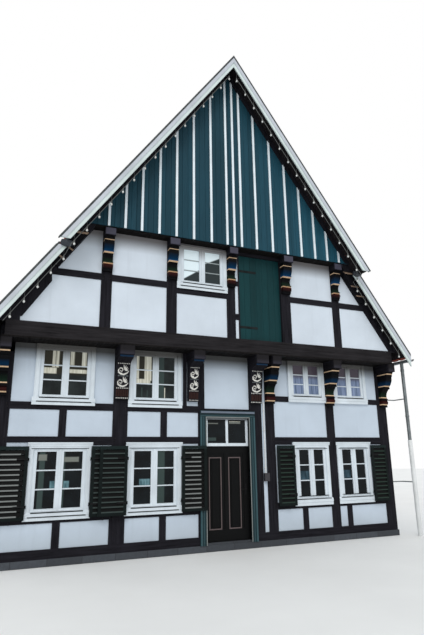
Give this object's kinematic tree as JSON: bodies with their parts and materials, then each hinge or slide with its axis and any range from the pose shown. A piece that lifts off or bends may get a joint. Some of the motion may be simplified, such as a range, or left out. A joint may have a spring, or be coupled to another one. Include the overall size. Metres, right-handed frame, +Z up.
{
  "type": "half timbered house",
  "caption": "Gable-fronted half timbered house with two jettied storeys on carved consoles, shuttered windows, a boarded upper gable and a steep tiled roof.",
  "frame": {"origin": "on the ground, under the middle of the ground floor", "axes": "+Z up, the front gable faces -Y, +X to the right seen from the front"},
  "size_m": [10.05, 12.41, 11.3136],
  "materials": {
    "plinth_stone": "rough",
    "floor_stone": "rough",
    "black_timber": "matt",
    "painted_timber": "satin",
    "white_plaster": "matt",
    "floor_boards": "matt",
    "green_paint": "satin",
    "petrol_paint": "satin",
    "white_paint": "satin",
    "zinc": "dull",
    "red_tiles": "matt",
    "window_glass": "clear",
    "grey_green_paint": "satin",
    "dark_brown_paint": "satin",
    "iron": "dull",
    "dark_green_paint": "satin",
    "white_plastic": "matt"
  },
  "bodies": {
    "root": {"plinth": "plinth_stone", "ground_floor": "floor_stone", "sills": "black_timber", "front_posts": "black_timber", "front_rails": "black_timber", "front_infill": "white_plaster", "side_posts": "black_timber", "side_rails": "black_timber", "side_infill": "white_plaster", "rear_posts": "black_timber", "rear_rails": "black_timber", "rear_infill": "white_plaster", "plank_floors": "floor_boards", "floor_beams": "black_timber", "painted_consoles": "painted_timber", "carved_consoles": "black_timber", "gable_beams": "black_timber", "gable_posts": "black_timber", "gable_rails": "black_timber", "gable_infill": "white_plaster", "loft_door": "green_paint", "rafters": "black_timber", "roof_purlins": "black_timber", "gable_cladding": "petrol_paint", "cladding_battens": "white_paint", "rake_strips": "black_timber", "bargeboards": "white_paint", "verge_trims": "zinc", "roof_left": "red_tiles", "roof_right": "red_tiles", "ridge_tiles": "red_tiles", "gutters": "zinc", "downpipes": "zinc", "window_frames": "white_paint", "window_glass": "window_glass", "window_sills": "white_paint", "window_heads": "white_paint", "door_surround": "grey_green_paint", "door_head": "grey_green_paint", "door_frame": "grey_green_paint", "fanlight": "white_paint", "hinge_pintles": "iron", "shutter_2": "dark_green_paint", "wall_conduit": "white_plastic"},
    "door": {"door_leaf": "dark_brown_paint", "door_handle": "iron"},
    "left_shutter_1": {"shutter_1": "dark_green_paint"},
    "left_shutter_3": {"shutter_3": "dark_green_paint"},
    "right_shutter_4": {"shutter_4": "dark_green_paint"},
    "left_shutter_5": {"shutter_5": "dark_green_paint"},
    "right_shutter_6": {"shutter_6": "dark_green_paint"}
  },
  "joints": [
    {"name": "door_hinge", "type": "hinge", "parent": "root", "child": "door", "pos_m": [-0.343, -5.37, 1.1], "axis": [0, 0, 1], "range_deg": [0, 95]},
    {"name": "shutter_1_hinge", "type": "hinge", "parent": "root", "child": "left_shutter_1", "pos_m": [-3.91325, -5.5685, 1.4], "axis": [0, 0, 1], "range_deg": [0, 180]},
    {"name": "shutter_3_hinge", "type": "hinge", "parent": "root", "child": "left_shutter_3", "pos_m": [-2.0635, -5.6155, 1.4], "axis": [0, 0, 1], "range_deg": [0, 180]},
    {"name": "shutter_4_hinge", "type": "hinge", "parent": "root", "child": "right_shutter_4", "pos_m": [-0.9375, -5.5685, 1.4], "axis": [0, 0, -1], "range_deg": [0, 180]},
    {"name": "shutter_5_hinge", "type": "hinge", "parent": "root", "child": "left_shutter_5", "pos_m": [1.797, -5.5685, 1.4], "axis": [0, 0, 1], "range_deg": [0, 180]},
    {"name": "shutter_6_hinge", "type": "hinge", "parent": "root", "child": "right_shutter_6", "pos_m": [3.933, -5.5685, 1.4], "axis": [0, 0, -1], "range_deg": [0, 180]}
  ]
}
